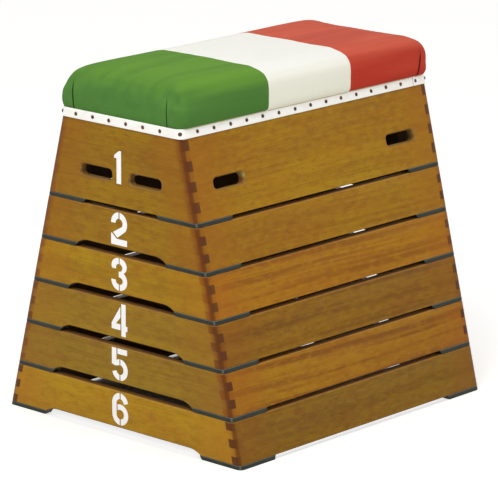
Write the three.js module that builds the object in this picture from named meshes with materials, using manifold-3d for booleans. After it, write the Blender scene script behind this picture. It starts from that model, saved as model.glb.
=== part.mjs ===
// A wooden vaulting box: six tiers that nest on one another, with a padded canvas top.
// Millimetres. X runs along the box, Y across it and Z up, and the origin is the middle of the
// footprint on the floor. Left is -X, the numbered end, and front is -Y.

import * as THREE from 'three';
import { mergeVertices } from 'three/addons/utils/BufferGeometryUtils.js';
import Module from 'manifold-3d';

const wasm = await Module();
wasm.setup();

// Whole box
const LENGTH = 800;               // over the end boards, the same at every height
const BOTTOM_WIDTH = 696;         // over the side boards at the floor
const TOP_WIDTH = 344;            // over the side boards at the top of the wood
const TIER_COUNT = 6;
const LOWER_TIER_HEIGHT = 100;    // boards and corner pads
const TOP_TIER_HEIGHT = 200;      // boards and corner pads, without the cushion

// Boards and their box joints
const BOARD_THICKNESS = 20;       // square to the board's own face
const CORNER_RADIUS = 12;         // outer upright corners
const EDGE_EASE = 2;              // chamfer of the outer top edges, and of the grips
const LOWER_EASE = 1;             // chamfer of the outer bottom edges, and of the rubber pads
const LOWER_FINGER_COUNT = 5;
const TOP_FINGER_COUNT = 9;
const JOINT_CLEARANCE = 0.3;      // between wooden pieces that are glued together

// Rubber corner pads under each tier
const PAD_THICKNESS = 9;
const PAD_SIDE_ARM = 112;         // from the end of the box, at the pad's top
const PAD_END_ARM = 116;          // from the side of the box, at the pad's top
const PAD_BEVEL = 5;              // how much shorter the arms are at the pad's underside

// Grip recess along the bottom edge of the lower tiers' end boards
const GRIP_DEPTH = 9;
const GRIP_RAMP = 30;

// Hand holes through the top tier's boards
const HOLE_WIDTH = 92;
const HOLE_HEIGHT = 25;
const HOLE_CORNER_RADIUS = 10;
const HOLE_EASE = 3;              // chamfer round the hole, at both faces of the board
const END_HOLE_SPACING = 144;     // between the middles of the two holes
const END_HOLE_RISE = 74;         // middle of the hole above the tier's underside
const SIDE_HOLE_SETBACK = 120;    // middle of the hole from the end of the box
const SIDE_HOLE_RISE = 80;

// Blocks glued into the inner corners; those of the lower tiers stand up into the tier above
const BLOCK_SIZE = 40;
const LOCATOR_PROJECTION = 20;    // above the top edge of the boards
const LOCATOR_SETBACK = 3;        // all round the part that stands up
const LOCATOR_CHAMFER = 6;
const LOCATOR_HEADROOM = 5;       // between that part and the block above it

// Deck board that closes the top tier under the cushion
const DECK_THICKNESS = 12;

// Cushion: a foam pad under a canvas cover of three panels
const CUSHION_HEIGHT = 96;        // from the deck to the crown of the cover
const CROWN_RISE = 4;             // of the middle of the top above its shoulders
const SHOULDER_REACH = 54;        // rounding of the top edges, measured level
const SHOULDER_DROP = 46;         // the same rounding, measured upright
const FULLEST_RISE = 35;          // height of the fullest line above the deck
const SIDE_SWELL = 7.5;           // of the fullest line past the top edge of the side boards
const END_SWELL = 3;              // of the fullest line past the end boards
const CUSHION_CORNER_RADIUS = 20;
const COVER_THICKNESS = 1;
const CLOTH_CLEARANCE = 0.3;      // between the cover and what it touches, and at its seams
const HEM_DROP = 16;              // of the cover's hem below the deck's top

// Trim band that is tacked over the hem
const BAND_THICKNESS = 1.2;
const BAND_DROP = 18;             // of its lower edge below the deck's top
const BAND_RISE = 3;              // of its upper edge above the deck's top

// How far cutting shapes, and pieces that a cut finishes, run past the finished face
const OVERRUN = 4;

// Facets and steps
const CORNER_SEGMENTS = 4;
const CURVE_SEGMENTS = 4;
const SWELL_STEPS = 3;
const SHOULDER_STEPS = 4;
const CROWN_STEPS = 3;
const CROWN_REACH_SHARE = 0.9;    // of the way from the shoulder to the cushion's centre line

// Worked out from the sizes above
const WOOD_HEIGHT = (TIER_COUNT - 1) * LOWER_TIER_HEIGHT + TOP_TIER_HEIGHT;
const SLOPE = (BOTTOM_WIDTH - TOP_WIDTH) / 2 / WOOD_HEIGHT;
const LEAN = Math.atan(SLOPE);
const LEVEL_STRETCH = 1 / Math.cos(LEAN);
const SIDE_SPAN = BOARD_THICKNESS * LEVEL_STRETCH;      // a leaning board measured level
const INNER_END = LENGTH / 2 - BOARD_THICKNESS;
const LOCATOR_START = LOCATOR_PROJECTION + LOCATOR_HEADROOM;
const COVER_GROWTH = CLOTH_CLEARANCE + COVER_THICKNESS;  // of the cover's outside over the foam
const FOAM_HEIGHT = CUSHION_HEIGHT - COVER_GROWTH;
const BAND_INNER_GROWTH = COVER_GROWTH + CLOTH_CLEARANCE;

const X_AXIS = new THREE.Vector3(1, 0, 0);
const Y_AXIS = new THREE.Vector3(0, 1, 0);
const Z_AXIS = new THREE.Vector3(0, 0, 1);

const FINISHES = {
  wood: { color: 0xa8742e, roughness: 0.45, metalness: 0 },
  plywood: { color: 0xc9a36b, roughness: 0.7, metalness: 0 },
  rubber: { color: 0x3c4646, roughness: 0.8, metalness: 0 },
  foam: { color: 0xd9d2bd, roughness: 0.95, metalness: 0 },
  greenCanvas: { color: 0x4c8a3a, roughness: 0.85, metalness: 0 },
  whiteCanvas: { color: 0xf0efe6, roughness: 0.85, metalness: 0 },
  redCanvas: { color: 0xc0392f, roughness: 0.85, metalness: 0 },
  band: { color: 0xf4efe4, roughness: 0.6, metalness: 0 },
};

// Solids from geometry, and geometry from solids

function solid(geometry) {
  geometry.deleteAttribute('normal');
  geometry.deleteAttribute('uv');
  const merged = mergeVertices(geometry);
  return new wasm.Manifold(new wasm.Mesh({
    numProp: 3,
    vertProperties: new Float32Array(merged.attributes.position.array),
    triVerts: new Uint32Array(merged.index.array),
  }));
}

function addPiece(group, name, body, finish) {
  const { vertProperties, triVerts } = body.getMesh();
  const geometry = new THREE.BufferGeometry();
  geometry.setAttribute('position', new THREE.BufferAttribute(vertProperties, 3));
  geometry.setIndex(new THREE.BufferAttribute(triVerts, 1));
  geometry.computeVertexNormals();
  const mesh = new THREE.Mesh(geometry, new THREE.MeshStandardMaterial(FINISHES[finish]));
  mesh.name = name;
  group.add(mesh);
}

function outline(points) {
  return new THREE.Shape(points.map(([across, up]) => new THREE.Vector2(across, up)));
}

function extrude(shape, depth, basis) {
  const settings = { depth, bevelEnabled: false, curveSegments: CURVE_SEGMENTS };
  const geometry = new THREE.ExtrudeGeometry(shape, settings);
  return solid(geometry.applyMatrix4(basis));
}

// A cutter for a hole through a board. The basis sets its middle in the middle of the board, and
// it widens by the ease at either face of the board and runs on past it at the same slope.
function flaredCutter(shape, ease, basis) {
  const depth = BOARD_THICKNESS - 2 * ease;
  const flare = ease + OVERRUN;
  const geometry = new THREE.ExtrudeGeometry(shape, {
    depth,
    curveSegments: CURVE_SEGMENTS,
    bevelSegments: 1,
    bevelThickness: flare,
    bevelSize: -flare,
    bevelOffset: flare,
  });
  return solid(geometry.translate(0, 0, -depth / 2).applyMatrix4(basis));
}

// A shape drawn in Y and Z, drawn out along X between two places.
function alongX(shape, from, to) {
  const basis = new THREE.Matrix4().makeBasis(Y_AXIS, Z_AXIS, X_AXIS);
  basis.setPosition(Math.min(from, to), 0, 0);
  return extrude(shape, Math.abs(to - from), basis);
}

// A shape drawn in X and Z, drawn out along Y between two places.
function alongY(shape, from, to) {
  const basis = new THREE.Matrix4().makeBasis(X_AXIS, Z_AXIS, Y_AXIS.clone().negate());
  basis.setPosition(0, Math.max(from, to), 0);
  return extrude(shape, Math.abs(to - from), basis);
}

// A level ring of points: a rectangle with rounded corners.
function roundedRing(halfLength, halfWidth, radius, height) {
  const ring = [];
  for (const [turn, sx, sy] of [[0, 1, 1], [1, -1, 1], [2, -1, -1], [3, 1, -1]]) {
    for (let i = 0; i <= CORNER_SEGMENTS; i += 1) {
      const angle = (turn + i / CORNER_SEGMENTS) * Math.PI / 2;
      ring.push([
        sx * (halfLength - radius) + radius * Math.cos(angle),
        sy * (halfWidth - radius) + radius * Math.sin(angle),
        height,
      ]);
    }
  }
  return ring;
}

// The solid between a stack of rings, each higher than the one before.
function loft(rings) {
  const count = rings[0].length;
  const top = (rings.length - 1) * count;
  const indices = [];
  for (let i = 0; i < count; i += 1) {
    const next = (i + 1) % count;
    for (let start = 0; start < top; start += count) {
      indices.push(start + i, start + next, start + count + next);
      indices.push(start + i, start + count + next, start + count + i);
    }
  }
  for (let i = 1; i < count - 1; i += 1) {
    indices.push(0, i + 1, i);
    indices.push(top, top + i, top + i + 1);
  }
  const geometry = new THREE.BufferGeometry();
  geometry.setAttribute('position', new THREE.Float32BufferAttribute(rings.flat(2), 3));
  geometry.setIndex(indices);
  return solid(geometry);
}

// Places on a tier: heights are measured from the tier's own underside, and an inset is measured
// level from the outer face of the front (side -1) or back (side 1) board.

function halfWidth(tier, height) {
  return BOTTOM_WIDTH / 2 - SLOPE * (tier.base + height);
}

function leaningPoint(tier, side, height, inset) {
  return [side * (halfWidth(tier, height) - inset), height];
}

function leaningSection(tier, side, outer, inner, low, high) {
  return outline([
    leaningPoint(tier, side, low, outer),
    leaningPoint(tier, side, low, inner),
    leaningPoint(tier, side, high, inner),
    leaningPoint(tier, side, high, outer),
  ]);
}

// The tier's outer form between two heights, with rounded upright corners and eased level edges.
function hull(tier, low, high, lowEase, highEase) {
  const ring = (height, inset) => roundedRing(
    LENGTH / 2 - inset,
    halfWidth(tier, height) - inset,
    CORNER_RADIUS - inset,
    height,
  );
  return loft([
    ring(low, lowEase),
    ring(low + lowEase, 0),
    ring(high - highEase, 0),
    ring(high, highEase),
  ]);
}

function boardHull(tier) {
  return hull(tier, PAD_THICKNESS, tier.height, LOWER_EASE, EDGE_EASE);
}

// Heights of the notches of a box joint, every other one from the first. Each is a little taller
// than the finger that fills it, and the outermost run out past the board's edges.
function notches(tier, first) {
  const step = (tier.height - PAD_THICKNESS) / tier.fingers;
  const bands = [];
  for (let i = first; i < tier.fingers; i += 2) {
    const low = PAD_THICKNESS + i * step;
    const below = i === 0 ? OVERRUN : JOINT_CLEARANCE / 2;
    const above = i === tier.fingers - 1 ? OVERRUN : JOINT_CLEARANCE / 2;
    bands.push([low - below, low + step + above]);
  }
  return bands;
}

function handHole(across, up) {
  const reach = HOLE_WIDTH / 2 - HOLE_CORNER_RADIUS;
  const rise = HOLE_HEIGHT / 2 - HOLE_CORNER_RADIUS;
  const shape = new THREE.Shape();
  for (const [turn, sx, sy] of [[0, 1, 1], [1, -1, 1], [2, -1, -1], [3, 1, -1]]) {
    const start = turn * Math.PI / 2;
    shape.absarc(across + sx * reach, up + sy * rise, HOLE_CORNER_RADIUS, start, start + Math.PI / 2);
  }
  return shape;
}

// A hand hole through a leaning board, square to its face.
function sideHandHole(tier, side, across) {
  const outward = new THREE.Vector3(0, side * Math.cos(LEAN), Math.sin(LEAN));
  const up = new THREE.Vector3(0, -side * Math.sin(LEAN), Math.cos(LEAN));
  const through = new THREE.Vector3().crossVectors(X_AXIS, up);
  const middle = new THREE.Vector3(0, ...leaningPoint(tier, side, SIDE_HOLE_RISE, 0));
  middle.addScaledVector(outward, -BOARD_THICKNESS / 2);
  const basis = new THREE.Matrix4().makeBasis(X_AXIS, up, through).setPosition(middle);
  return flaredCutter(handHole(across, 0), HOLE_EASE, basis);
}

function sideBoard(tier, side) {
  const far = LENGTH / 2 + OVERRUN;
  const section = leaningSection(tier, side, -OVERRUN, SIDE_SPAN, 0, tier.height + OVERRUN);
  let board = alongX(section, -far, far).intersect(boardHull(tier));
  for (const end of [-1, 1]) {
    for (const [low, high] of notches(tier, 1)) {
      const notch = leaningSection(tier, side, -OVERRUN, SIDE_SPAN + OVERRUN, low, high);
      board = board.subtract(alongX(notch, end * (INNER_END - JOINT_CLEARANCE), end * far));
    }
    if (tier.isTop) {
      const across = end * (LENGTH / 2 - SIDE_HOLE_SETBACK);
      board = board.subtract(sideHandHole(tier, side, across));
    } else {
      board = board.add(locatorBlock(tier, end, side));
    }
  }
  return board;
}

// The grip recess between the corner pads: a flat roof that runs down to the pads in soft ramps.
function gripRecess(tier) {
  const wide = halfWidth(tier, PAD_THICKNESS) - PAD_END_ARM;
  const bend = wide - GRIP_RAMP / 2;
  const flat = wide - GRIP_RAMP;
  const roof = PAD_THICKNESS + GRIP_DEPTH;
  return new THREE.Shape()
    .moveTo(-wide, 0)
    .lineTo(wide, 0)
    .lineTo(wide, PAD_THICKNESS)
    .quadraticCurveTo(bend, roof, flat, roof)
    .lineTo(-flat, roof)
    .quadraticCurveTo(-bend, roof, -wide, PAD_THICKNESS);
}

function endBoard(tier, end) {
  const inside = end * INNER_END;
  const far = end * (LENGTH / 2 + OVERRUN);
  const basis = new THREE.Matrix4().makeBasis(Y_AXIS, Z_AXIS, X_AXIS);
  basis.setPosition(end * (LENGTH - BOARD_THICKNESS) / 2, 0, 0);
  const wide = halfWidth(tier, 0) + OVERRUN;
  const blank = outline([
    [-wide, 0],
    [wide, 0],
    [wide, tier.height + OVERRUN],
    [-wide, tier.height + OVERRUN],
  ]);
  let board = alongX(blank, inside, far).intersect(boardHull(tier));
  if (!tier.isTop) {
    board = board.subtract(flaredCutter(gripRecess(tier), EDGE_EASE, basis));
  }
  for (const side of [-1, 1]) {
    for (const [low, high] of notches(tier, 0)) {
      const depth = SIDE_SPAN + JOINT_CLEARANCE;
      const notch = leaningSection(tier, side, -OVERRUN, depth, low, high);
      board = board.subtract(alongX(notch, inside - end * OVERRUN, far));
    }
    if (tier.isTop) {
      const hole = handHole(side * END_HOLE_SPACING / 2, END_HOLE_RISE);
      board = board.subtract(flaredCutter(hole, HOLE_EASE, basis));
    }
  }
  return board;
}

function cornerPad(tier, end, side) {
  const far = end * (LENGTH / 2 + OVERRUN);
  const endArm = alongX(outline([
    leaningPoint(tier, side, 0, -OVERRUN),
    leaningPoint(tier, side, 0, PAD_END_ARM - PAD_BEVEL),
    leaningPoint(tier, side, PAD_THICKNESS, PAD_END_ARM),
    leaningPoint(tier, side, PAD_THICKNESS, -OVERRUN),
  ]), end * INNER_END, far);
  const tip = end * (LENGTH / 2 - PAD_SIDE_ARM);
  const bevel = alongY(outline([
    [tip, PAD_THICKNESS + OVERRUN],
    [tip, PAD_THICKNESS],
    [tip + end * PAD_BEVEL, 0],
    [tip + end * PAD_BEVEL, -OVERRUN],
    [far, -OVERRUN],
    [far, PAD_THICKNESS + OVERRUN],
  ]), 0, side * BOTTOM_WIDTH);
  const strip = leaningSection(tier, side, -OVERRUN, SIDE_SPAN, 0, PAD_THICKNESS);
  const sideArm = alongX(strip, tip - end * OVERRUN, far).intersect(bevel);
  return endArm.add(sideArm).intersect(hull(tier, 0, PAD_THICKNESS, LOWER_EASE, LOWER_EASE));
}

// The corner block of a lower tier. It reaches half way into the side board that it is glued to,
// and its upper part is set back all round and chamfered, so that the tier above drops over it.
function locatorBlock(tier, end, side) {
  const inner = SIDE_SPAN + BLOCK_SIZE;
  const face = INNER_END - JOINT_CLEARANCE;
  const section = leaningSection(tier, side, SIDE_SPAN / 2, inner, LOCATOR_START, tier.height);
  const body = alongX(section, end * (face - BLOCK_SIZE), end * face);

  const low = tier.height - LOCATOR_PROJECTION;
  const high = tier.height + LOCATOR_PROJECTION;
  const knee = high - LOCATOR_CHAMFER;
  const near = SIDE_SPAN + LOCATOR_SETBACK;
  const deep = inner - LOCATOR_SETBACK;
  const across = alongX(outline([
    leaningPoint(tier, side, low, near),
    leaningPoint(tier, side, knee, near),
    leaningPoint(tier, side, high, near + LOCATOR_CHAMFER),
    leaningPoint(tier, side, high, deep - LOCATOR_CHAMFER),
    leaningPoint(tier, side, knee, deep),
    leaningPoint(tier, side, low, deep),
  ]), end * (face - BLOCK_SIZE), end * face);
  const outside = end * (INNER_END - LOCATOR_SETBACK);
  const inside = end * (face - BLOCK_SIZE + LOCATOR_SETBACK);
  const along = alongY(outline([
    [outside, low - OVERRUN],
    [outside, knee],
    [outside - end * LOCATOR_CHAMFER, high],
    [inside + end * LOCATOR_CHAMFER, high],
    [inside, knee],
    [inside, low - OVERRUN],
  ]), 0, side * BOTTOM_WIDTH);
  return body.add(across.intersect(along));
}

// The corner block of the top tier, which carries the deck.
function deckBlock(tier, end, side) {
  const near = SIDE_SPAN + JOINT_CLEARANCE;
  const deckUnderside = tier.height - DECK_THICKNESS;
  const face = INNER_END - JOINT_CLEARANCE;
  const section = leaningSection(tier, side, near, near + BLOCK_SIZE, LOCATOR_START, deckUnderside);
  return alongX(section, end * (face - BLOCK_SIZE), end * face);
}

function deckBoard(tier) {
  const inset = SIDE_SPAN + JOINT_CLEARANCE;
  const underside = tier.height - DECK_THICKNESS;
  const face = INNER_END - JOINT_CLEARANCE;
  return alongX(outline([
    leaningPoint(tier, -1, underside, inset),
    leaningPoint(tier, 1, underside, inset),
    leaningPoint(tier, 1, tier.height, inset),
    leaningPoint(tier, -1, tier.height, inset),
  ]), -face, face);
}

// A ring on the line of the boards, carried on past their top edge, and moved out by a growth.
function boardLineRing(tier, rise, growth) {
  const height = tier.height + rise;
  return roundedRing(
    LENGTH / 2 + growth,
    halfWidth(tier, height) + growth * LEVEL_STRETCH,
    CORNER_RADIUS + growth,
    height,
  );
}

// The cushion's form above the deck, moved out by a growth. It starts on the line of the boards,
// swells to its fullest line, goes straight up and rounds over its shoulders to a low crown.
function cushionForm(tier, startRise, growth) {
  const swellStart = BAND_RISE + CLOTH_CLEARANCE;
  const shoulderTop = FOAM_HEIGHT - CROWN_RISE;
  const fullLength = LENGTH / 2 + END_SWELL;
  const fullWidth = halfWidth(tier, tier.height) + SIDE_SWELL;
  const rings = [boardLineRing(tier, startRise, growth), boardLineRing(tier, swellStart, growth)];
  for (let i = 1; i <= SWELL_STEPS; i += 1) {
    const share = i / SWELL_STEPS;
    const eased = Math.sin(share * Math.PI / 2);
    rings.push(roundedRing(
      THREE.MathUtils.lerp(LENGTH / 2, fullLength, eased) + growth,
      THREE.MathUtils.lerp(halfWidth(tier, tier.height + swellStart), fullWidth, eased)
        + growth * LEVEL_STRETCH,
      THREE.MathUtils.lerp(CORNER_RADIUS, CUSHION_CORNER_RADIUS, eased) + growth,
      tier.height + THREE.MathUtils.lerp(swellStart, FULLEST_RISE, share),
    ));
  }
  for (let i = 0; i <= SHOULDER_STEPS; i += 1) {
    const angle = i / SHOULDER_STEPS * Math.PI / 2;
    const inset = (SHOULDER_REACH + growth) * (1 - Math.cos(angle));
    rings.push(roundedRing(
      fullLength + growth - inset,
      fullWidth + growth * LEVEL_STRETCH - inset,
      CUSHION_CORNER_RADIUS + growth,
      tier.height + shoulderTop - SHOULDER_DROP + (SHOULDER_DROP + growth) * Math.sin(angle),
    ));
  }
  const crownReach = (fullWidth - SHOULDER_REACH) * CROWN_REACH_SHARE;
  const crownRadius = Math.min(CUSHION_CORNER_RADIUS, fullWidth - SHOULDER_REACH - crownReach);
  for (let i = 1; i <= CROWN_STEPS; i += 1) {
    const share = i / CROWN_STEPS;
    const inset = SHOULDER_REACH + crownReach * share;
    rings.push(roundedRing(
      fullLength - inset,
      fullWidth - inset,
      THREE.MathUtils.lerp(CUSHION_CORNER_RADIUS, crownRadius, share),
      tier.height + shoulderTop + growth + CROWN_RISE * Math.sin(share * Math.PI / 2),
    ));
  }
  return loft(rings);
}

// The canvas cover, cut at its seams into panels of equal length.
function coverPanels(tier) {
  const cover = cushionForm(tier, -HEM_DROP, COVER_GROWTH)
    .subtract(cushionForm(tier, -HEM_DROP - OVERRUN, CLOTH_CLEARANCE));
  const far = LENGTH / 2 + END_SWELL + COVER_GROWTH + OVERRUN;
  const top = tier.height + CUSHION_HEIGHT + OVERRUN;
  const slab = outline([
    [-BOTTOM_WIDTH / 2, 0],
    [BOTTOM_WIDTH / 2, 0],
    [BOTTOM_WIDTH / 2, top],
    [-BOTTOM_WIDTH / 2, top],
  ]);
  return PANEL_COLOURS.map((_, index) => {
    const start = index * LENGTH / PANEL_COLOURS.length - LENGTH / 2;
    const end = start + LENGTH / PANEL_COLOURS.length;
    const isFirst = index === 0;
    const isLast = index === PANEL_COLOURS.length - 1;
    return cover.intersect(alongX(
      slab,
      isFirst ? -far : start + CLOTH_CLEARANCE / 2,
      isLast ? far : end - CLOTH_CLEARANCE / 2,
    ));
  });
}

function trimBand(tier) {
  const outer = loft([-BAND_DROP, BAND_RISE].map((rise) => (
    boardLineRing(tier, rise, BAND_INNER_GROWTH + BAND_THICKNESS)
  )));
  const inner = loft([-BAND_DROP - OVERRUN, BAND_RISE + OVERRUN].map((rise) => (
    boardLineRing(tier, rise, BAND_INNER_GROWTH)
  )));
  return outer.subtract(inner);
}

// The whole box, one group for each tier

const SIDES = [['front', -1], ['back', 1]];
const ENDS = [['left', -1], ['right', 1]];
const PANEL_COLOURS = ['green', 'white', 'red'];          // from the left end to the right

function buildTier(number) {
  const isTop = number === 1;
  const tier = {
    isTop,
    base: (TIER_COUNT - number) * LOWER_TIER_HEIGHT,
    height: isTop ? TOP_TIER_HEIGHT : LOWER_TIER_HEIGHT,
    fingers: isTop ? TOP_FINGER_COUNT : LOWER_FINGER_COUNT,
  };
  const group = new THREE.Group();
  group.position.z = tier.base;
  for (const [sideName, side] of SIDES) {
    addPiece(group, `tier_${number}_side_board_${sideName}`, sideBoard(tier, side), 'wood');
  }
  for (const [endName, end] of ENDS) {
    addPiece(group, `tier_${number}_end_board_${endName}`, endBoard(tier, end), 'wood');
    for (const [sideName, side] of SIDES) {
      const place = `${sideName}_${endName}`;
      addPiece(group, `tier_${number}_corner_pad_${place}`, cornerPad(tier, end, side), 'rubber');
      if (isTop) {
        addPiece(group, `tier_${number}_corner_block_${place}`, deckBlock(tier, end, side), 'wood');
      }
    }
  }
  if (isTop) {
    addPiece(group, 'deck_board', deckBoard(tier), 'plywood');
    addPiece(group, 'foam_pad', cushionForm(tier, 0, 0), 'foam');
    coverPanels(tier).forEach((panel, index) => {
      const colour = PANEL_COLOURS[index];
      addPiece(group, `cover_panel_${colour}`, panel, `${colour}Canvas`);
    });
    addPiece(group, 'trim_band', trimBand(tier), 'band');
  }
  return group;
}

const vaultingBox = new THREE.Group();
for (let number = TIER_COUNT; number >= 1; number -= 1) {
  vaultingBox.add(buildTier(number));
}

export default vaultingBox;
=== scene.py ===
"""A six-tier wooden vaulting box with a padded canvas top, in a plain pale studio.

Metres. X runs along the box, Y across it and Z up. Left is -X, the numbered end, and front is -Y.
"""
import math
import random

import bmesh
import bpy
from mathutils import Matrix, Vector, noise
from mathutils.bvhtree import BVHTree


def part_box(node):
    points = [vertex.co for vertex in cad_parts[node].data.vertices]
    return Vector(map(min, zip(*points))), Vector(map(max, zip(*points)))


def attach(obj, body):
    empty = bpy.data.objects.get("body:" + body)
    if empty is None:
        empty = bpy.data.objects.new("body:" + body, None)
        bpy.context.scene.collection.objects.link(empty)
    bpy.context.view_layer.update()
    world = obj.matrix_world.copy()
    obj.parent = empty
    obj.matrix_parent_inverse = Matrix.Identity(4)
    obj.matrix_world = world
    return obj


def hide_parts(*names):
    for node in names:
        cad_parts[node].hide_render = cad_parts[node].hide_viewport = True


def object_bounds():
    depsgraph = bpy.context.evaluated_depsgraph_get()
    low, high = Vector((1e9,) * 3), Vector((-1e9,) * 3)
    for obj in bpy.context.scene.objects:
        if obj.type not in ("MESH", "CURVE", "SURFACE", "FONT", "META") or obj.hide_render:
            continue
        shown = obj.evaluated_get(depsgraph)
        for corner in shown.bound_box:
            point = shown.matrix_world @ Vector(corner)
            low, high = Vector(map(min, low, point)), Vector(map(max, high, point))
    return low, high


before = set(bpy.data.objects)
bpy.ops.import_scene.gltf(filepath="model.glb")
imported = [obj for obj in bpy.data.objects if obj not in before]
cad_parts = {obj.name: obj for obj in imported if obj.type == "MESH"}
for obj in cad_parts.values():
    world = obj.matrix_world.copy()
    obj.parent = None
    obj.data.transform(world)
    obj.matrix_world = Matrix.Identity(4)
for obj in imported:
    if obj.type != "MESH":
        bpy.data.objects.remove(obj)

scene = bpy.context.scene
bpy.context.view_layer.update()
CAD_LOW, CAD_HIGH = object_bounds()

# Sizes taken from the frame
TIERS = range(1, 7)
SIDES = ("front", "back")
ENDS = ("left", "right")
TOP_SIDE_LOW, TOP_SIDE_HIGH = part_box("tier_1_side_board_back")
FOOT_SIDE_LOW, FOOT_SIDE_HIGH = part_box("tier_6_side_board_back")
HALF_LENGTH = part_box("tier_1_end_board_right")[1].x
WOOD_TOP = TOP_SIDE_HIGH.z
SLOPE = (FOOT_SIDE_HIGH.y - TOP_SIDE_HIGH.y) / (TOP_SIDE_LOW.z - FOOT_SIDE_LOW.z)
SEAM = HALF_LENGTH / 3
BAND_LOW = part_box("trim_band")[0].z
BAND_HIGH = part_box("trim_band")[1].z
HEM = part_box("cover_panel_white")[0].z
COVER_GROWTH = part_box("cover_panel_red")[1].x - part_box("foam_pad")[1].x
BAND_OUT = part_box("trim_band")[1].x - HALF_LENGTH

# Sizes of the boards that the looks follow. A hand hole has its width and height, and on a side
# and on an end how far its middle lies from the box's own middle and above the floor.
CORNER_RADIUS = 0.012
EDGE_EASE = 0.002
LOWER_EASE = 0.001
HAND_HOLE = (0.092, 0.025)
HAND_HOLE_EASE = 0.003
SIDE_HOLE = (0.280, 0.580)
END_HOLE = (0.072, 0.574)

# Faces of a CAD node closer than this are joined, and edges sharper than this stay sharp
WELD_DISTANCE = 0.00002
SHARP_ANGLE = math.radians(32)

# Cover and cushion
SKIN_VOXEL = 0.006
SKIN_START_INSET = 0.003
SKIN_CAP = 0.0012
SKIN_HOLD_HEIGHT = 0.035
CLOTH_STEPS = 20
CLOTH_SETTINGS = dict(
    quality=6, mass=0.3, tension_stiffness=12, compression_stiffness=12, shear_stiffness=6,
    bending_stiffness=0.6, use_pressure=True, uniform_pressure_force=4, vertex_group_mass="held",
)
FULLER_EDGE = 0.0060
FULLER_FOOT = 0.0030
FULLER_END_SHARES = (-0.5, 0.55)
FULLER_FOOT_ENDS = 0.2
FULLER_SHOULDER = 0.0015
CROWN_FLATTENING = 0.0033
LEFT_CORNER_DROOP = 0.0092
SKIN_SMOOTHING = 6
CANVAS_THICKNESS = 0.001
CANVAS_PITCH = 0.0011
SEAM_GROOVE = 0.0009
SEAM_GROOVE_REACH = 0.005
SEAM_LOOPS = (-0.005, -0.003, -0.0015, -0.0006, 0.0, 0.0006, 0.0015, 0.003, 0.005)
LINE_RAYS = 720
STITCH_SETBACK = 0.006
STITCH_PITCH = 0.0045
STITCH_LENGTH = 0.0032
STITCH_RADIUS = 0.0004
PLEAT_STEP = 0.0018
PLEAT_SPREAD = 0.040
PLEAT_TOP = 0.767
PLEAT_FADE = 0.026
PLEAT_SLIT = 0.0012
PLEAT_DEPTH = 0.0070

# Trim band and its tacks
TACK_PITCH = 0.050
TACK_RADIUS = 0.0044
TACK_HEIGHT = 0.0028
TACK_SEGMENTS = 16
TACK_RINGS = 6
TACK_JITTER = 0.0012
TACK_STRETCH = 1.015
TACK_END_SHIFT = 0.005
DIMPLE_DEPTH = 0.0007
DIMPLE_REACH = 0.006
BAND_THICKNESS = 0.0012
BAND_JOINT = 0.352
BAND_GAP = 0.0008
BAND_STEP = 0.004
ARC_STEPS = 8

# Stencilled numbers, drawn in millimetres on a plate 48.5 wide and 72 high
MILLIMETRE = 0.001
NUMBER_WIDTH_SHARE = 0.98
NUMBER_PLACE = (0.0278, 0.0247)
NUMBER_ONE_PLACE = (0.0175, 0.0588)
PAINT_THICKNESS = 0.0003

# Camera, fitted to the picture's 498 by 480 frame
CAMERA_PLACE = Vector((-5.3251, -4.8345, 2.2205))
CAMERA_LENS = 242.70
CAMERA_RIGHT = Vector((0.67263, -0.73997, 0.00441))
CAMERA_DOWN = Vector((-0.18227, -0.17145, -0.96819))

# Studio: the floor's glow makes it white to the camera, and more so just under the box's edges
WORLD_LIGHT = 0.665
LIGHT_SIZE = 2.4
LIGHT_TARGET = Vector((0.0, 0.0, 0.4))
FLOOR_REACH = 40.0
FLOOR_LIFT = 0.42
FLOOR_EDGE_LIFT = 1.9

X_AXIS = Vector((1.0, 0.0, 0.0))
Z_AXIS = Vector((0.0, 0.0, 1.0))


def half_width(height):
    """Half the width over the side boards at a height above the floor."""
    return FOOT_SIDE_HIGH.y - SLOPE * (height - FOOT_SIDE_LOW.z - LOWER_EASE)


def paint(*colour):
    """Red, green and blue in the display's 0 to 255, as linear light."""
    def linear(share):
        return share / 12.92 if share <= 0.04045 else ((share + 0.055) / 1.055) ** 2.4
    return (*[linear(value / 255) for value in colour], 1.0)


def put(thing, **settings):
    """Sets attributes of a thing and gives it back."""
    for name, value in settings.items():
        setattr(thing, name, value)
    return thing


def linked(name, data):
    """A new object in the scene."""
    thing = bpy.data.objects.new(name, data)
    scene.collection.objects.link(thing)
    return thing


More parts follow.
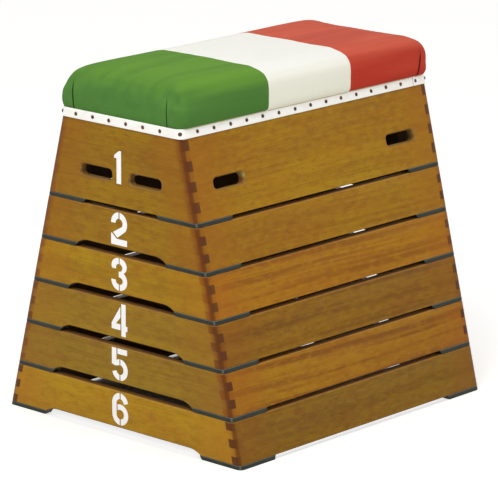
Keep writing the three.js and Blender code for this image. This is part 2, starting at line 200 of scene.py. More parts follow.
class Shader:
    """The node tree of a material or a world. A node as an input means its first output."""

    def __init__(self, owner):
        owner.use_nodes = True
        self.owner = owner
        self.nodes = owner.node_tree.nodes
        self.links = owner.node_tree.links
        self.nodes.clear()

    def add(self, kind, inputs=None, **settings):
        node = put(self.nodes.new("ShaderNode" + kind), **settings)
        for key, value in (inputs or {}).items():
            self.feed(node.inputs[key], value)
        return node

    def feed(self, socket, value):
        if isinstance(value, bpy.types.Node):
            value = value.outputs[0]
        if isinstance(value, bpy.types.NodeSocket):
            self.links.new(value, socket)
        elif value is not None:
            socket.default_value = value

    def math(self, operation, first, second=None, clamp=False):
        inputs = {0: first, 1: second}
        return self.add("Math", inputs, operation=operation, use_clamp=clamp)

    def size(self, value):
        return self.math("ABSOLUTE", value)

    def minus(self, first, second):
        return self.math("SUBTRACT", first, second)

    def most(self, first, second):
        return self.math("MAXIMUM", first, second)

    def total(self, result, *terms):
        for term in terms:
            result = self.math("ADD", result, term)
        return result

    def product(self, result, *factors):
        for factor in factors:
            result = self.math("MULTIPLY", result, factor)
        return result

    def weighted(self, *pairs):
        return self.total(*[self.product(*pair) for pair in pairs])

    def wave(self, value, pitch):
        return self.math("SINE", self.product(value, 2 * math.pi / pitch))

    def ramp(self, value, low, high, start=0.0, end=1.0):
        """Runs softly from start to end while the value goes from low to high."""
        inputs = dict(enumerate((value, low, high, start, end)))
        return self.add("MapRange", inputs, interpolation_type="SMOOTHSTEP")

    def mix(self, factor, *colours):
        """A mix of two colours: sockets, light, or three numbers as paint takes them."""
        first, second = [
            paint(*colour) if isinstance(colour, tuple) and len(colour) == 3 else colour
            for colour in colours
        ]
        return self.add("Mix", {0: factor, 6: first, 7: second}, data_type="RGBA").outputs[2]

    def layered(self, colour, *layers):
        """A colour under layers, each with the ramp that says where it lies and its colour."""
        for *ramp, over in layers:
            colour = self.mix(self.ramp(*ramp), colour, over)
        return colour

    def figure(self, axes, scales, seed, detail=2, roughness=0.5, distortion=0.0):
        """Noise over three coordinates, each with its own scale, moved by a seed."""
        scaled = [self.product(axis, scale) for axis, scale in zip(axes, scales)]
        joined = self.add("CombineXYZ", dict(enumerate(scaled)))
        inputs = {0: joined, 1: (seed, seed * 0.7, seed * 1.3)}
        return self.add("TexNoise", {
            "Vector": self.add("VectorMath", inputs, operation="ADD"),
            "Scale": 1.0,
            "Detail": detail,
            "Roughness": roughness,
            "Distortion": distortion,
        })

    def seen_directly(self):
        """One where the camera, a reflection or a view through glass looks, else nothing."""
        path = self.add("LightPath")
        camera, glossy, clear = [
            path.outputs[f"Is {ray} Ray"] for ray in ("Camera", "Glossy", "Transmission")
        ]
        return self.most(self.most(camera, glossy), clear)

    def end(self, surface, output="OutputMaterial"):
        self.add(output, {"Surface": surface})

    def finish(self, colour, roughness, height, bump, **sockets):
        """The material, ended in a surface with its colour, roughness and relief."""
        relief = self.add("Bump", {"Height": height, "Distance": bump, "Strength": 1.0})
        inputs = {"Base Color": colour, "Roughness": roughness, "Normal": relief}
        inputs.update({name.replace("_", " "): value for name, value in sockets.items()})
        self.end(self.add("BsdfPrincipled", inputs))
        return self.owner


def new_material(name):
    """A new material's shader, and the place and the normal on the piece as X, Y and Z each."""
    s = Shader(bpy.data.materials.new(name))
    source = s.add("TexCoord").outputs
    parted = [s.add("SeparateXYZ", {0: source[kind]}).outputs for kind in ("Object", "Normal")]
    return s, *map(list, parted)


# Camera, lights and floor

def add_camera():
    data = put(bpy.data.cameras.new("camera"), lens=CAMERA_LENS, sensor_width=36.0, clip_end=100.0)
    camera = linked("camera", data)
    back = CAMERA_RIGHT.cross(-CAMERA_DOWN).normalized()
    turn = Matrix((CAMERA_RIGHT, -CAMERA_DOWN, back)).transposed()
    camera.matrix_world = Matrix.Translation(CAMERA_PLACE) @ turn.to_4x4()
    scene.camera = camera


def add_area_light(name, place, power):
    data = put(bpy.data.lights.new(name, "AREA"), shape="DISK", size=LIGHT_SIZE, energy=power)
    light = linked(name, data)
    light.location = place
    light.rotation_mode = "QUATERNION"
    light.rotation_quaternion = (LIGHT_TARGET - place).to_track_quat("-Z", "Y")


def set_world():
    s = Shader(bpy.data.worlds.new("studio"))
    scene.world = s.owner
    light, shown = [
        s.add("Background", {"Color": paint(255, 255, 255), "Strength": strength})
        for strength in (WORLD_LIGHT, 1.0)
    ]
    s.end(s.add("MixShader", {0: s.seen_directly(), 1: light, 2: shown}), "OutputWorld")


def add_floor():
    """A pale floor that the camera sees as white, apart from the box's shadow."""
    mesh = bpy.data.meshes.new("studio_floor")
    corners = ((-1, -1), (1, -1), (1, 1), (-1, 1))
    points = [(x * FLOOR_REACH, y * FLOOR_REACH, 0.0) for x, y in corners]
    mesh.from_pydata(points, [], [(0, 1, 2, 3)])
    floor = linked("studio_floor", mesh)
    s, (x, y, _), _ = new_material("pale_floor")
    spans = ((x, HALF_LENGTH, 0.055, 0.26), (y, half_width(0.0), 0.028, 0.20))
    clear = s.most(*[s.ramp(s.size(at), edge - 0.02, edge) for at, edge, _, _ in spans])
    under = [s.ramp(at, near - edge, far - edge, 1.0, 0.0) for at, edge, near, far in spans]
    edge_lift = s.ramp(clear, 0.0, 1.0, FLOOR_EDGE_LIFT, 1.0)
    outside = s.product(s.most(clear, s.most(*under)), edge_lift)
    strength = s.product(s.seen_directly(), outside, FLOOR_LIFT)
    matt = s.add("BsdfDiffuse", {"Color": paint(232, 231, 228)})
    glow = s.add("Emission", {"Color": paint(255, 255, 255), "Strength": strength})
    s.end(s.add("AddShader", {0: matt, 1: glow}))
    mesh.materials.append(s.owner)


# Materials of the wood

# By tier: the tone, how banded the figure is and how dark the fingers' end grain is, on the side
# boards and then on the end boards, and how strongly the varnish has darkened at the corners
WOOD = {
    1: ((163, 115, 19), 0.30, 0.15, (151, 108, 22), 0.2, 0.80, 0.95),
    2: ((160, 112, 19), 0.35, 0.15, (156, 113, 22), 0.3, 0.90, 0.95),
    3: ((168, 112, 19), 0.95, 0.20, (168, 125, 23), 0.45, 0.80, 0.90),
    4: ((144, 100, 18), 0.80, 0.25, (155, 117, 30), 0.3, 0.90, 0.95),
    5: ((162, 109, 19), 1.2, 0.20, (149, 113, 32), 0.35, 0.95, 0.80),
    6: ((137, 98, 19), 0.40, 0.80, (175, 130, 28), 0.2, 0.50, 0.45),
}


def hole_walls(s, colour, along, z, along_normal, face_normal, cloud, is_side):
    """Bare wood in the walls of the hand holes, paler above as painted light and darker below as
    painted shade, with worn patches.
    """
    middle, height = SIDE_HOLE if is_side else END_HOLE
    aside = s.size(s.minus(s.size(along), middle))
    rise = s.minus(z, height)
    wide, high = [size / 2 + HAND_HOLE_EASE + EDGE_EASE for size in HAND_HOLE]
    inside = s.product(
        s.math("LESS_THAN", aside, wide),
        s.math("LESS_THAN", s.size(rise), high),
        s.ramp(s.size(face_normal), 0.80, 0.90, 1.0, 0.0),
    )
    # Tones of the walls as painted light and painted shade; on the side boards the right-hand
    # hole's walls are shaded darker
    lit, shaded_tone = (152, 112, 56), (112, 78, 42)
    if is_side:
        right = s.math("GREATER_THAN", along, 0.0)
        lit = s.mix(right, (178, 162, 92), (136, 110, 58))
        shaded_tone = s.mix(right, (142, 92, 46), (108, 76, 40))
    # Painted light on the upper part of each wall, painted shade below it
    wall = s.mix(s.ramp(rise, -0.006, 0.004), shaded_tone, lit)
    wall = s.mix(s.ramp(s.size(along_normal), 0.45, 0.80), (142, 106, 48), wall)
    wear_and_painted_light = s.mix(s.ramp(cloud, 0.4, 0.7, 0.0, 0.35), wall, (112, 78, 38))
    return s.mix(inside, colour, wear_and_painted_light)


def board_material(name, seed, tone, banding, grain, stain, is_side, has_holes):
    """Varnished wood with its grain along a board, darker end grain, reddish corners, and painted
    light and shade.
    """
    s, (x, y, z), (nx, ny, nz) = new_material(name)
    along, across = (x, y) if is_side else (y, x)
    end_normal, face_normal = (nx, ny) if is_side else (ny, nx)

    def figure(scales, number, detail, height=z, **settings):
        return s.figure((along, across, height), scales, seed + number, detail, **settings)

    drift = figure((1.6, 9, 9), 0, 3)
    cloud = figure((7, 14, 18), 5, 4, roughness=0.6)
    level = s.total(z, s.product(figure((1.6, 2, 4), 9, 1), 0.045))
    bands = figure((0.8, 4, 52), 3, 2, level)
    streak = figure((3, 120, 260), 7, 3, level)
    fine = figure((45, 700, 620), 11, 2)
    pore = s.ramp(figure((85, 900, 950), 13, 1), 0.60, 0.72)
    mottle = figure((42, 95, 95), 15, 3)

    red, green, blue = tone
    gold = (red + 12, green + 16, blue - 6)
    brown = (red - 30, green - 30, blue - 8)
    russet = (red - 2, green - 16, blue - 2)
    colour = s.layered(tone, (drift, 0.38, 0.64, 0.0, 0.75, gold))
    # On the top tier's side boards: lighter towards the bottom as a broad painted highlight, and
    # darker towards the left end as painted shade
    if is_side and has_holes:
        colour = s.layered(
            colour,
            (z, TOP_SIDE_LOW.z, WOOD_TOP - 0.06, 0.70, 0.0, (red + 12, green + 21, blue)),
            (x, -HALF_LENGTH, -0.12, 0.60, 0.0, (red - 10, green - 18, blue - 3)),
        )
    colour = s.layered(
        colour,
        (cloud, 0.46, 0.72, 0.0, 0.40, russet),
        (bands, 0.46, 0.62, 0.0, 0.8 * banding, brown),
        (mottle, 0.50, 0.68, 0.0, 0.45, gold),
        (mottle, 0.32, 0.50, 0.35, 0.0, brown),
        (streak, 0.50, 0.75, 0.0, 0.40, brown),
        (fine, 0.35, 0.65, 0.0, 0.22, (red - 42, green - 38, 12)),
    )
    colour = s.mix(s.product(pore, 0.34), colour, (red - 64, green - 56, 8))

    leaning = s.minus(half_width(0.0), s.product(z, SLOPE))
    reach, cross_reach = (HALF_LENGTH, leaning) if is_side else (leaning, HALF_LENGTH)
    from_corner = s.minus(reach, s.size(along))
    from_face = s.minus(cross_reach, s.size(across))
    on_end = s.ramp(s.size(end_normal), 0.70, 0.94)
    aside = s.total(from_corner, s.product(on_end, s.most(from_face, 0.0)))
    corner = s.ramp(s.total(aside, s.product(cloud, 0.012), -0.006), 0.004, 0.026, stain, 0.0)
    stained = (red * 0.80, green * 0.60, blue * 0.85)
    if is_side:
        corner = s.product(corner, s.ramp(on_end, 0.0, 1.0, 0.55, 1.0))
        stained = (red * 0.78, green * 0.58, blue * 0.85)
    colour = s.layered(colour, (from_corner, 0.03, 0.15, 0.45, 0.0, russet))
    colour = s.mix(corner, colour, stained)
    end_grain = s.mix(s.figure((x, y, z), (420, 420, 420), seed + 17), (72, 36, 14), (98, 54, 22))
    fingers = s.product(on_end, s.ramp(from_corner, 0.014, 0.018, grain, 0.0))
    colour = s.mix(fingers, colour, end_grain)
    # Painted shade on the rounded upright corners, where the faces turn between side and end
    turn = s.math("MINIMUM", s.size(nx), s.size(ny))
    # Painted highlight on the eased upper edges, where they face up and out
    eased_edge_highlight = s.product(s.ramp(nz, 0.42, 0.60), s.ramp(nz, 0.80, 0.90, 1.0, 0.0))
    colour = s.layered(
        colour,
        (turn, 0.20, 0.60, 0.0, 0.72, (86, 44, 18)),
        (nz, 0.86, 0.96, 0.0, 0.85, (136, 92, 52)),
    )
    colour = s.mix(s.product(eased_edge_highlight, 0.30), colour, (180, 128, 70))
    # Painted shade on the faces that look down
    colour = s.layered(colour, (nz, -0.75, -0.45, 0.85, 0.0, (44, 30, 17)))
    if has_holes:
        colour = hole_walls(s, colour, along, z, end_normal, face_normal, cloud, is_side)
    # Painted shade on the boards' inner faces, darker inside the box
    facing_in = s.product(face_normal, s.math("SIGN", across), -1.0)
    colour = s.layered(colour, (facing_in, 0.25, 0.60, 0.0, 0.80, (84, 63, 43)))

    roughness = s.total(s.weighted((streak, 0.14), (pore, 0.15)), 0.36)
    height = s.weighted((fine, 0.35), (pore, -0.6), (streak, 0.4))
    return s.finish(colour, roughness, height, 0.00025, Specular_IOR_Level=0.12)


def block_material():
    """Sawn softwood of the corner blocks."""
    s, place, _ = new_material("sawn_block_wood")
    rings = s.figure(place, (120, 120, 6), 2.0, 3)
    fibre = s.figure(place, (900, 900, 40), 3.0)
    colour = s.layered(
        (112, 84, 54),
        (rings, 0.4, 0.65, (88, 62, 38)),
        (fibre, 0.5, 0.7, 0.0, 0.4, (64, 44, 28)),
    )
    height = s.weighted((rings, 0.5), (fibre, 0.5))
    return s.finish(colour, s.ramp(fibre, 0.3, 0.7, 0.62, 0.78), height, 0.0004)


def plywood_material():
    """Plywood of the deck: a rotary-cut face, and plies at the edges."""
    s, place, (_, _, nz) = new_material("deck_plywood")
    figure = s.figure(place, (3, 22, 3), 4.0, 4, distortion=0.8)
    fibre = s.figure(place, (60, 800, 800), 5.0)
    face = s.layered(
        (206, 172, 118),
        (figure, 0.4, 0.62, (180, 138, 84)),
        (fibre, 0.5, 0.7, 0.0, 0.35, (140, 100, 58)),
    )
    plies = s.ramp(s.wave(place[2], 0.0028), -0.3, 0.3)
    edge = s.mix(plies, (150, 108, 62), (208, 172, 120))
    colour = s.layered(edge, (s.size(nz), 0.4, 0.6, face))
    return s.finish(colour, s.ramp(fibre, 0.3, 0.7, 0.6, 0.8), fibre, 0.0003)


def rubber_material():
    """Moulded dark rubber with random paler smears, and painted highlights on its upper edges and
    rounded corners.
    """
    s, place, (nx, ny, nz) = new_material("corner_rubber")
    speck = s.figure(place, (900, 900, 900), 6.0)
    smear = s.figure(place, (40, 40, 120), 7.0, 3)
    colour = s.layered((31, 36, 30), (smear, 0.35, 0.7, (48, 52, 44)))
    # Painted highlight along the upper edges
    edge = s.product(s.ramp(nz, 0.35, 0.6), s.ramp(nz, 0.85, 0.95, 1.0, 0.0))
    colour = s.mix(s.product(edge, 0.7), colour, (118, 124, 110))
    # Painted highlight on the rounded upright corners
    turn = s.math("MINIMUM", s.size(nx), s.size(ny))
    colour = s.layered(colour, (turn, 0.45, 0.68, 0.0, 0.35, (132, 140, 128)))
    roughness = s.total(s.ramp(smear, 0.3, 0.7, 0.42, 0.6), s.product(speck, 0.08))
    height = s.total(speck, s.product(smear, 0.6))
    return s.finish(colour, roughness, height, 0.0002, Specular_IOR_Level=0.25)


# Materials of the soft parts, the paint and the metal

def pleat_edge(face):
    """How far out a pleat starts on an end or a side."""
    return HALF_LENGTH - 0.04 if face == "end" else half_width(WOOD_TOP) - 0.03


def pleat_shadow(s, x, y, z, pleats):
    """One along the fold of each pleat, and nothing elsewhere."""
    lines = []
    for face, side, line, _, lean, swing in pleats:
        out, over = (x, y) if face == "end" else (y, x)
        shift = s.product(s.minus(z, BAND_HIGH), -lean)
        bend = s.product(s.total(s.product(out, -side), HALF_LENGTH), -swing)
        aside = s.size(s.total(over, shift, bend, -line))
        lines.append(s.product(
            s.ramp(aside, PLEAT_SLIT * 0.8, PLEAT_SLIT * 1.8, 1.0, 0.0),
            s.ramp(z, PLEAT_TOP - PLEAT_FADE, PLEAT_TOP, 1.0, 0.0),
            s.math("GREATER_THAN", s.product(out, side), pleat_edge(face)),
        ))
    return s.total(*lines)


def canvas_material(name, faded_and_lit_tone, deep_and_shaded_tone, dark, pleats):
    """Plain-weave canvas with soft streaks along X, lighter on top and higher up as fading and
    painted light, darker on the sides and at the left end as painted shade, with a painted shadow
    in each pleat's fold.
    """
    s, (x, y, z), (nx, _, nz) = new_material(name)
    is_top = s.ramp(s.size(nz), 0.68, 0.74)
    is_end = s.ramp(s.size(nx), 0.68, 0.74)
    warp = s.weighted((y, is_end), (x, s.minus(1.0, is_end)))
    weft = s.weighted((y, is_top), (z, s.minus(1.0, is_top)))
    weave = s.product(s.wave(warp, CANVAS_PITCH), s.wave(weft, CANVAS_PITCH))
    slub = s.figure((x, y, z), (24, 240, 240), 8.0, 3)
    streak = s.figure((x, y, z), (2.2, 30, 26), 9.0, 3, 0.45)
    cloud = s.figure((x, y, z), (5, 8, 8), 10.0)
    # Share of the faded, lit tone: painted light on the top and higher up, fading, random streaks
    # and clouds, and painted shade towards the left end
    wear_and_painted_light = s.total(
        s.ramp(nz, 0.0, 1.1, 0.0, 0.80),
        s.ramp(z, BAND_HIGH, CAD_HIGH.z, 0.0, 0.12),
        s.ramp(x, -HALF_LENGTH, -HALF_LENGTH + 0.11, -0.28, 0.0),
        s.product(s.total(streak, -0.5), 0.55),
        s.product(s.total(cloud, -0.5), 0.30),
    )
    colour = s.mix(s.math("MAXIMUM", wear_and_painted_light, 0.0, clamp=True), deep_and_shaded_tone, faded_and_lit_tone)
    colour = s.layered(
        colour, (weave, -1.0, 0.2, 0.16, 0.0, dark), (slub, 0.55, 0.75, 0.0, 0.15, faded_and_lit_tone)
    )
    if pleats:
        colour = s.layered(colour, (streak, 0.34, 0.60, 0.13, 0.0, dark))
        # Painted shadow along the fold of each pleat
        fold = (*[value * 0.4 for value in paint(*dark)[:3]], 1.0)
        colour = s.mix(s.product(pleat_shadow(s, x, y, z, pleats), 0.9), colour, fold)
    height = s.weighted((weave, 0.5), (slub, 0.6))
    return s.finish(
        colour, s.ramp(slub, 0.3, 0.7, 0.70, 0.86), height, 0.0002,
        Sheen_Weight=0.01, Sheen_Roughness=0.45, Specular_IOR_Level=0.06,
    )


def thread_material(name, colour, dark):
    """Twisted sewing thread."""
    s, place, _ = new_material(name)
    twist = s.wave(s.total(*place), 0.0006)
    mixed = s.layered(colour, (twist, -1.0, 1.0, 0.0, 0.6, dark))
    return s.finish(mixed, s.ramp(twist, -1.0, 1.0, 0.55, 0.7), twist, 0.00005)


def foam_material():
    """Open-cell foam."""
    s = Shader(bpy.data.materials.new("cushion_foam"))
    source = s.add("TexCoord").outputs["Object"]
    cells = s.add("TexVoronoi", {"Vector": source, "Scale": 700.0})
    patch = s.add("TexNoise", {"Vector": source, "Scale": 9.0})
    colour = s.layered(
        (176, 164, 128),
        (cells, 0.1, 0.5, (224, 214, 180)),
        (patch, 0.4, 0.7, 0.0, 0.4, (206, 184, 128)),
    )
    return s.finish(colour, s.ramp(cells, 0.0, 0.6, 0.95, 0.8), cells, 0.0006)


def vinyl_material():
    """White coated tape, a little yellowed and scuffed."""
    s, (x, y, z), _ = new_material("band_vinyl")
    scuff = s.figure((x, y, z), (30, 30, 90), 11.0, 5, 0.65)
    grain = s.figure((x, y, z), (900, 900, 900), 12.0, 1)
    colour = s.layered((255, 254, 248), (scuff, 0.45, 0.75, 0.0, 0.6, (238, 233, 220)))
    aside = s.size(s.total(x, -BAND_JOINT))
    joint = s.product(s.ramp(aside, 0.0006, 0.0014, 0.6, 0.0), s.math("LESS_THAN", y, 0.0))
    colour = s.mix(joint, colour, (186, 174, 162))
    roughness = s.ramp(scuff, 0.3, 0.7, 0.42, 0.62)
    return s.finish(colour, roughness, s.total(grain, scuff), 0.0001)


def stencil_material():
    """White stencil paint that has sunk a little into the grain."""
    s, place, _ = new_material("stencil_paint")
    pores = s.figure(place, (900, 70, 800), 13.0)
    cloud = s.figure(place, (60, 60, 60), 14.0, 3)
    colour = s.layered(
        (255, 255, 254),
        (cloud, 0.4, 0.7, 0.0, 0.5, (247, 246, 240)),
        (pores, 0.70, 0.78, 0.0, 0.5, (190, 160, 110)),
    )
    return s.finish(colour, s.ramp(cloud, 0.3, 0.7, 0.45, 0.6), pores, 0.0001)


def tack_material():
    """Antiqued bronze of the dome-headed tacks."""
    s, place, _ = new_material("bronze_tack")
    tarnish = s.figure(place, (260, 260, 260), 15.0, 3)
    colour = s.layered((104, 74, 60), (tarnish, 0.4, 0.65, (52, 34, 30)))
    roughness = s.ramp(tarnish, 0.35, 0.7, 0.36, 0.62)
    return s.finish(colour, roughness, tarnish, 0.0002, Metallic=0.75)


# Mesh helpers

def add_object(name, mesh, material, body="tier_1", smooth=True):
    """A new piece of one material that rides on a body."""
    mesh.materials.clear()
    mesh.materials.append(material)
    for face in mesh.polygons:
        face.use_smooth = smooth
    piece = linked(name, mesh)
    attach(piece, body)
    return piece


def mesh_from(form, name):
    mesh = bpy.data.meshes.new(name)
    form.to_mesh(mesh)
    form.free()
    return mesh


def form_from(mesh):
    form = bmesh.new()
    form.from_mesh(mesh)
    return form


def taken(work):
    """The mesh of a work object as its modifiers leave it. The object itself goes."""
    graph = bpy.context.evaluated_depsgraph_get()
    mesh = bpy.data.meshes.new_from_object(work.evaluated_get(graph), depsgraph=graph)
    bpy.data.objects.remove(work)
    return mesh


def even_out(work, times, group=""):
    even = work.modifiers.new("even", "SMOOTH")
    put(even, factor=0.5, iterations=times, vertex_group=group)


def cut_open(form, place, normal, dist=0.0):
    """Cuts a form at a plane and takes away all that lies behind it."""
    bmesh.ops.bisect_plane(
        form, geom=[*form.verts, *form.edges, *form.faces],
        plane_co=place, plane_no=normal, clear_inner=True, dist=dist,
    )


def cut_region(form, place, normal, keep):
    """Adds edges where a plane meets the faces whose middle passes the test."""
    faces = [face for face in form.faces if keep(face.calc_center_median())]
    edges = {edge for face in faces for edge in face.edges}
    verts = {vertex for face in faces for vertex in face.verts}
    bmesh.ops.bisect_plane(
        form, geom=[*faces, *edges, *verts], plane_co=place, plane_no=normal, dist=1e-7
    )


def face_out(form):
    bmesh.ops.recalc_face_normals(form, faces=form.faces)


def open_edges(form):
    return [edge for edge in form.edges if edge.is_boundary]


def extruded(form, edges):
    """The vertices of a new row of faces along some edges."""
    grown = bmesh.ops.extrude_edge_only(form, edges=edges)["geom"]
    return [item for item in grown if isinstance(item, bmesh.types.BMVert)]


def bridge(form, loops, following):
    """Adds the faces between each closed row of vertices and the one that follows it."""
    for loop, after in zip(loops, following):
        for index, corner in enumerate(loop):
            step = (index + 1) % len(loop)
            form.faces.new((corner, loop[step], after[step], after[index]))


def edge_smoothing():
    """A node group that joins a CAD node's faces and shades them smooth over soft angles only."""
    group = bpy.data.node_groups.new("soft_edges", "GeometryNodeTree")
    new, link = group.nodes.new, group.links.new
    for way in ("INPUT", "OUTPUT"):
        group.interface.new_socket("Geometry", in_out=way, socket_type="NodeSocketGeometry")
    weld = new("GeometryNodeMergeByDistance")
    weld.inputs["Distance"].default_value = WELD_DISTANCE
    angle = new("GeometryNodeInputMeshEdgeAngle")
    sharp = put(new("FunctionNodeCompare"), data_type="FLOAT", operation="GREATER_THAN")
    sharp.inputs[1].default_value = SHARP_ANGLE
    shade = new("GeometryNodeSetMeshNormal")
    shade.mode = "SHARPNESS"
    shade.inputs["Remove Custom"].default_value = True
    link(new("NodeGroupInput").outputs[0], weld.inputs["Geometry"])
    link(weld.outputs[0], shade.inputs["Mesh"])
    link(angle.outputs["Unsigned Angle"], sharp.inputs[0])
    link(sharp.outputs[0], shade.inputs["Edge Sharpness"])
    link(shade.outputs[0], new("NodeGroupOutput").inputs[0])
    return group


SOFT_EDGES = edge_smoothing()


def dress(node, material):
    """Gives a CAD node its material and soft shading."""
    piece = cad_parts[node]
    if not piece.material_slots:
        piece.data.materials.append(material)
    for slot in piece.material_slots:
        slot.material = material
    piece.modifiers.new("soft edges", "NODES").node_group = SOFT_EDGES


def dress_nodes():
    for tier, row in WOOD.items():
        kinds = (("side", SIDES, row[:3], 0.0, 3.7), ("end", ENDS, row[3:6], 100.0, 4.3))
        for kind, places, wood, first, step in kinds:
            for index, place in enumerate(places):
                node = f"tier_{tier}_{kind}_board_{place}"
                seed = first + 10.0 * tier + step * index
                made = board_material(node, seed, *wood, row[6], kind == "side", tier == 1)
                dress(node, made)
    rubber = rubber_material()
    block = block_material()
    for side in SIDES:
        for end in ENDS:
            dress(f"tier_1_corner_block_{side}_{end}", block)
            for tier in TIERS:
                dress(f"tier_{tier}_corner_pad_{side}_{end}", rubber)
    dress("deck_board", plywood_material())


# The cushion

def swollen_form():
    """The foam's form, remeshed, drawn in a little and swollen by a short cloth simulation."""
    form = form_from(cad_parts["foam_pad"].data)
    bmesh.ops.remove_doubles(form, verts=form.verts, dist=WELD_DISTANCE)
    work = linked("cushion_work", mesh_from(form, "cushion_work"))
    put(work.modifiers.new("remesh", "REMESH"), mode="VOXEL", voxel_size=SKIN_VOXEL)
    even_out(work, 2)
    mesh = taken(work)
    start = [vertex.co.copy() for vertex in mesh.vertices]
    normals = [vertex.normal.copy() for vertex in mesh.vertices]
    held = [vertex.index for vertex in mesh.vertices if vertex.co.z < BAND_HIGH]
    for vertex in mesh.vertices:
        share = min(1.0, max(0.0, (vertex.co.z - BAND_HIGH) / 0.03))
        vertex.co -= vertex.normal * SKIN_START_INSET * share
    work = linked("cushion_cloth", mesh)
    work.vertex_groups.new(name="held").add(held, 1.0, "REPLACE")
    cloth = work.modifiers.new("cloth", "CLOTH")
    put(cloth.settings, **CLOTH_SETTINGS)
    cloth.settings.effector_weights.gravity = 0
    cloth.collision_settings.use_collision = False
    put(cloth.point_cache, frame_start=1, frame_end=CLOTH_STEPS)
    for step in range(1, CLOTH_STEPS + 1):
        scene.frame_set(step)
    swollen = taken(work)
    scene.frame_set(1)
    moved = zip(swollen.vertices, start, normals)
    rises = [(vertex.co - target).dot(normal) for vertex, target, normal in moved]
    free = [rise for rise, target in zip(rises, start) if target.z > BAND_HIGH + SKIN_HOLD_HEIGHT]
    mean = sum(free) / len(free)
    for vertex, target, normal, rise in zip(swollen.vertices, start, normals, rises):
        hold = above_band(target, 0.0, SKIN_HOLD_HEIGHT)
        kept = SKIN_CAP * math.tanh((rise - mean) / (SKIN_CAP * 3))
        vertex.co = target + normal * (kept * hold)
    return swollen


def from_core(place, height, radius):
    """The nearest point of the core of the boards' rounded outline, and the way from it."""
    core_x, core_y = HALF_LENGTH - radius, half_width(height) - radius
    nearest = Vector((
        min(core_x, max(-core_x, place.x)),
        min(core_y, max(-core_y, place.y)),
        0.0,
    ))
    return nearest, Vector((place.x, place.y, 0.0)) - nearest


def outward(place):
    """The level direction away from the box's core at a place on its rounded outline."""
    _, away = from_core(place, WOOD_TOP, CORNER_RADIUS * 2)
    return away.normalized() if away.length > 1e-6 else Vector()


def on_board_line(place, height, growth):
    """The point of the boards' rounded outline at a height, moved out by a growth, near a place."""
    nearest, away = from_core(place, height, CORNER_RADIUS)
    spot = nearest + away.normalized() * (CORNER_RADIUS + growth)
    spot.z = height
    return spot


def bell(distance, reach):
    return math.exp(-(distance / reach) ** 2)


def soft_step(value, low, high):
    share = min(1.0, max(0.0, (value - low) / (high - low)))
    return share * share * (3 - 2 * share)


def above_band(place, low, high):
    """The soft step between two heights over the band."""
    return soft_step(place.z, BAND_HIGH + low, BAND_HIGH + high)


def fuller(place, normal):
    """How far the stuffed cover stands out over its rounded edges and just above the band."""
    edge = soft_step(1.0 - normal.z, 0.0, 0.25) * (0.45 + 0.55 * soft_step(normal.z, 0.0, 0.5))
    end_share = FULLER_END_SHARES[place.x > 0]
    level = max(normal.x ** 2 + normal.y ** 2, 1e-9)
    share = (normal.y ** 2 + end_share * normal.x ** 2) / level
    foot = above_band(place, -0.002, 0.004)
    foot *= 1.0 - above_band(place, 0.006, 0.032)
    foot *= (normal.y ** 2 + FULLER_FOOT_ENDS * normal.x ** 2) / level
    droop = soft_step(-place.x, 0.29, 0.395) * soft_step(abs(place.y), 0.07, 0.165)
    droop *= max(0.0, 4 * normal.z * (1.0 - normal.z))
    crown = max(0.0, 1.0 - (place.y / 0.12) ** 2) * soft_step(normal.z, 0.85, 1.0)
    shoulder = bell(abs(place.y) - 0.142, 0.022) * max(0.0, normal.z)
    swell = FULLER_EDGE * edge * share + FULLER_FOOT * foot + FULLER_SHOULDER * shoulder
    return swell - LEFT_CORNER_DROOP * droop - CROWN_FLATTENING * crown


def stuffed(mesh):
    """The mesh filled out by fuller, evened above the band and subdivided once."""
    normals = [vertex.normal.copy() for vertex in mesh.vertices]
    for vertex, normal in zip(mesh.vertices, normals):
        hold = above_band(vertex.co, -0.002, 0.004)
        vertex.co += normal * fuller(vertex.co, normal) * hold
    work = linked("stuffed_work", mesh)
    above = [vertex.index for vertex in mesh.vertices if vertex.co.z > BAND_HIGH + 0.02]
    work.vertex_groups.new(name="free").add(above, 1.0, "REPLACE")
    even_out(work, SKIN_SMOOTHING, "free")
    work.modifiers.new("finer", "SUBSURF").levels = 1
    return taken(work)


def shape_canvas(form):
    """Grows the skin to the cover's outside, with puckers between the tacks and soft rolls."""
    form.normal_update()
    for vertex in form.verts:
        place = vertex.co
        level = outward(place)
        around = place.x if abs(level.y) > abs(level.x) else place.y
        low = 1.0 - above_band(place, 0.0, 0.030)
        pucker = low * (0.5 - 0.5 * math.cos(2 * math.pi * around / TACK_PITCH)) * 0.0006
        roll = noise.noise(Vector((place.x * 7, place.y * 16, place.z * 16))) * 0.0011
        fine = noise.noise(Vector((place.x * 22, place.y * 60, place.z * 60 + 7))) * 0.0003
        hold = above_band(place, 0.0, 0.015)
        vertex.co = place + vertex.normal * (COVER_GROWTH + hold * (roll + fine)) + level * pucker


# Each pleat: on an end or a side of the box, which one, its place along that face, the way its
# fold lies, how much it leans with the height and how much it swings where the cushion rounds off
PLEATS = (
    ("end", -1, -0.137, -1, 0.05, 0.7),
    ("end", -1, 0.136, 1, 0.11, 0.5),
    ("end", 1, 0.136, 1, 0.04, 0.0),
    ("side", -1, 0.361, 1, 0.19, 0.0),
    ("side", 1, 0.366, 1, 0.19, 0.0),
)


